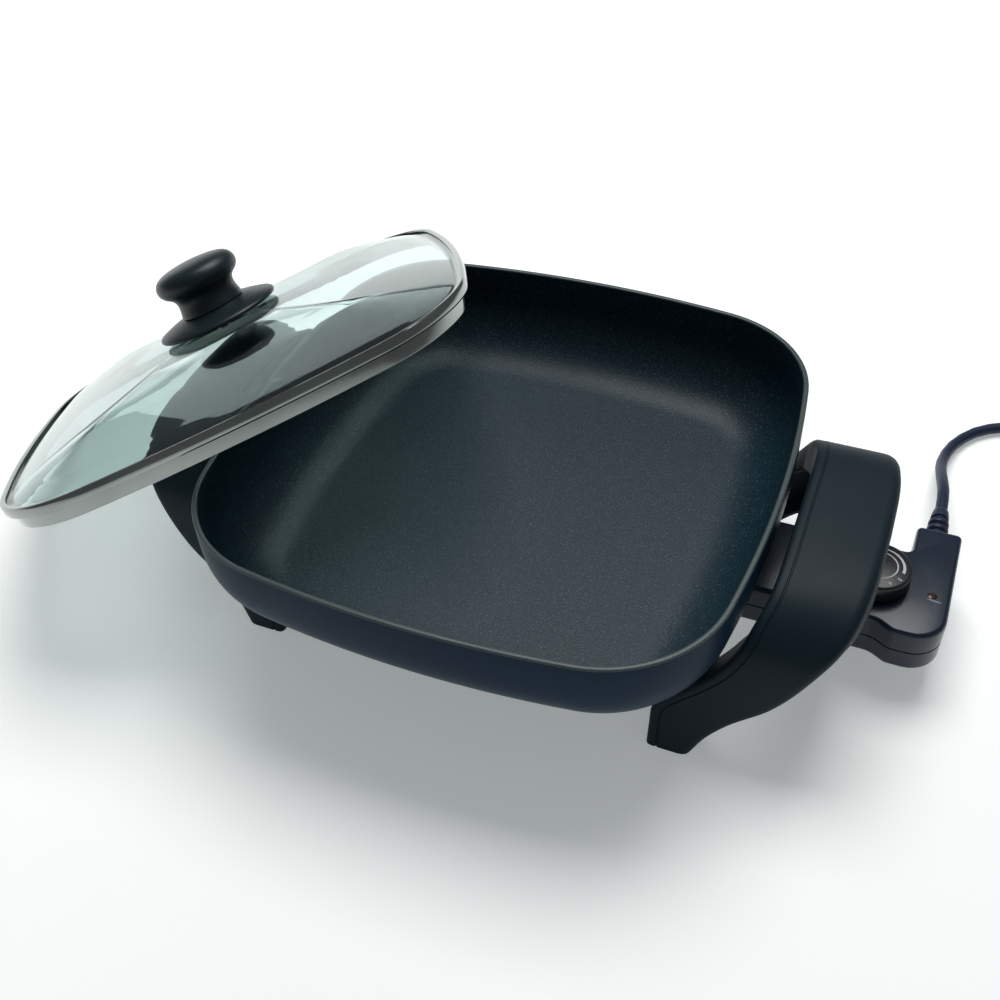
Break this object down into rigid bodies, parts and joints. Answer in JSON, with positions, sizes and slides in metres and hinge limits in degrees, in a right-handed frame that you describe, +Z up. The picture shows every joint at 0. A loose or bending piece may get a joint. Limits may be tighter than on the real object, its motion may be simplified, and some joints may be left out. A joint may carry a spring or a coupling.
{
  "type": "electric frying pan",
  "caption": "Square electric frying pan on two arched handles with legs, a knobbed glass lid leaning on it, and a plug-in controller with a dial and a coiled supply cord.",
  "frame": {"origin": "on the worktop, under the middle of the box round everything but the cord and its plug; the middle of the pan is at x 55.1 mm, y -27.9 mm", "axes": "+Z up; +X towards the side that the controller plugs into; +Y towards the back; the two handles are along X"},
  "size_m": [0.7262, 0.3837, 0.1741],
  "materials": {
    "pan_coating": "cast aluminium with a dark speckled non-stick coating inside and a dark blue enamel outside",
    "handle_plastic": "satin blue-black moulded phenolic",
    "knob_plastic": "satin black moulded phenolic",
    "case_plastic": "smooth blue-black moulding",
    "dial_plastic": "satin black with a printed white scale",
    "polished_steel": "polished stainless steel",
    "plated_steel": "zinc plated or sheathed steel",
    "aluminium": "as cast",
    "brass": "plain brass",
    "ceramic": "unglazed steatite",
    "lid_glass": "clear tempered glass with a green tint",
    "silicone": "matt black silicone",
    "cord_vinyl": "blue-black flexible vinyl",
    "phenolic": "brown moulded phenolic",
    "pilot_lens": "clear orange-red moulding"
  },
  "bodies": {
    "base": {"pan_body": "pan_coating", "heating_element": "plated_steel", "terminal_pin_front": "plated_steel", "terminal_pin_rear": "plated_steel", "terminal_insulator_front": "ceramic", "terminal_insulator_rear": "ceramic", "sensor_well": "aluminium", "socket_guard": "plated_steel", "guard_nut_front": "plated_steel", "guard_nut_rear": "plated_steel", "right_handle": "handle_plastic", "left_handle": "handle_plastic", "handle_screw_right_front": "plated_steel", "handle_screw_right_rear": "plated_steel", "handle_screw_left_front": "plated_steel", "handle_screw_left_rear": "plated_steel"},
    "lid": {"lid_glass": "lid_glass", "lid_rim": "polished_steel", "lid_knob": "knob_plastic", "knob_collar": "knob_plastic", "knob_gasket": "silicone", "knob_washer": "polished_steel", "knob_screw": "plated_steel"},
    "controller": {"controller_top_shell": "case_plastic", "controller_bottom_shell": "case_plastic", "case_screw_front": "plated_steel", "case_screw_rear": "plated_steel", "case_screw_end": "plated_steel", "sensor_rod": "plated_steel", "contact_sleeve_front": "brass", "contact_sleeve_rear": "brass", "thermostat_block": "phenolic", "pilot_lens": "pilot_lens", "pilot_lamp": "ceramic", "strain_relief": "cord_vinyl", "cord_tube": "cord_vinyl", "cord_coil": "cord_vinyl", "cord_tail": "cord_vinyl", "plug_body": "cord_vinyl", "plug_blade_left": "brass", "plug_blade_right": "brass"},
    "dial": {"temperature_dial": "dial_plastic", "dial_shaft": "brass"}
  },
  "joints": [
    {"name": "lid_lift", "type": "slide", "parent": "base", "child": "lid", "axis": [0, 0, 1], "range_m": [0, 0.25]},
    {"name": "controller_pull", "type": "slide", "parent": "base", "child": "controller", "axis": [1, 0, 0], "range_m": [0, 0.08]},
    {"name": "dial_turn", "type": "hinge", "parent": "controller", "child": "dial", "pos_m": [0.25806, -0.0114, 0.0525], "axis": [0, 0, 1], "range_deg": [-270, 0]}
  ]
}
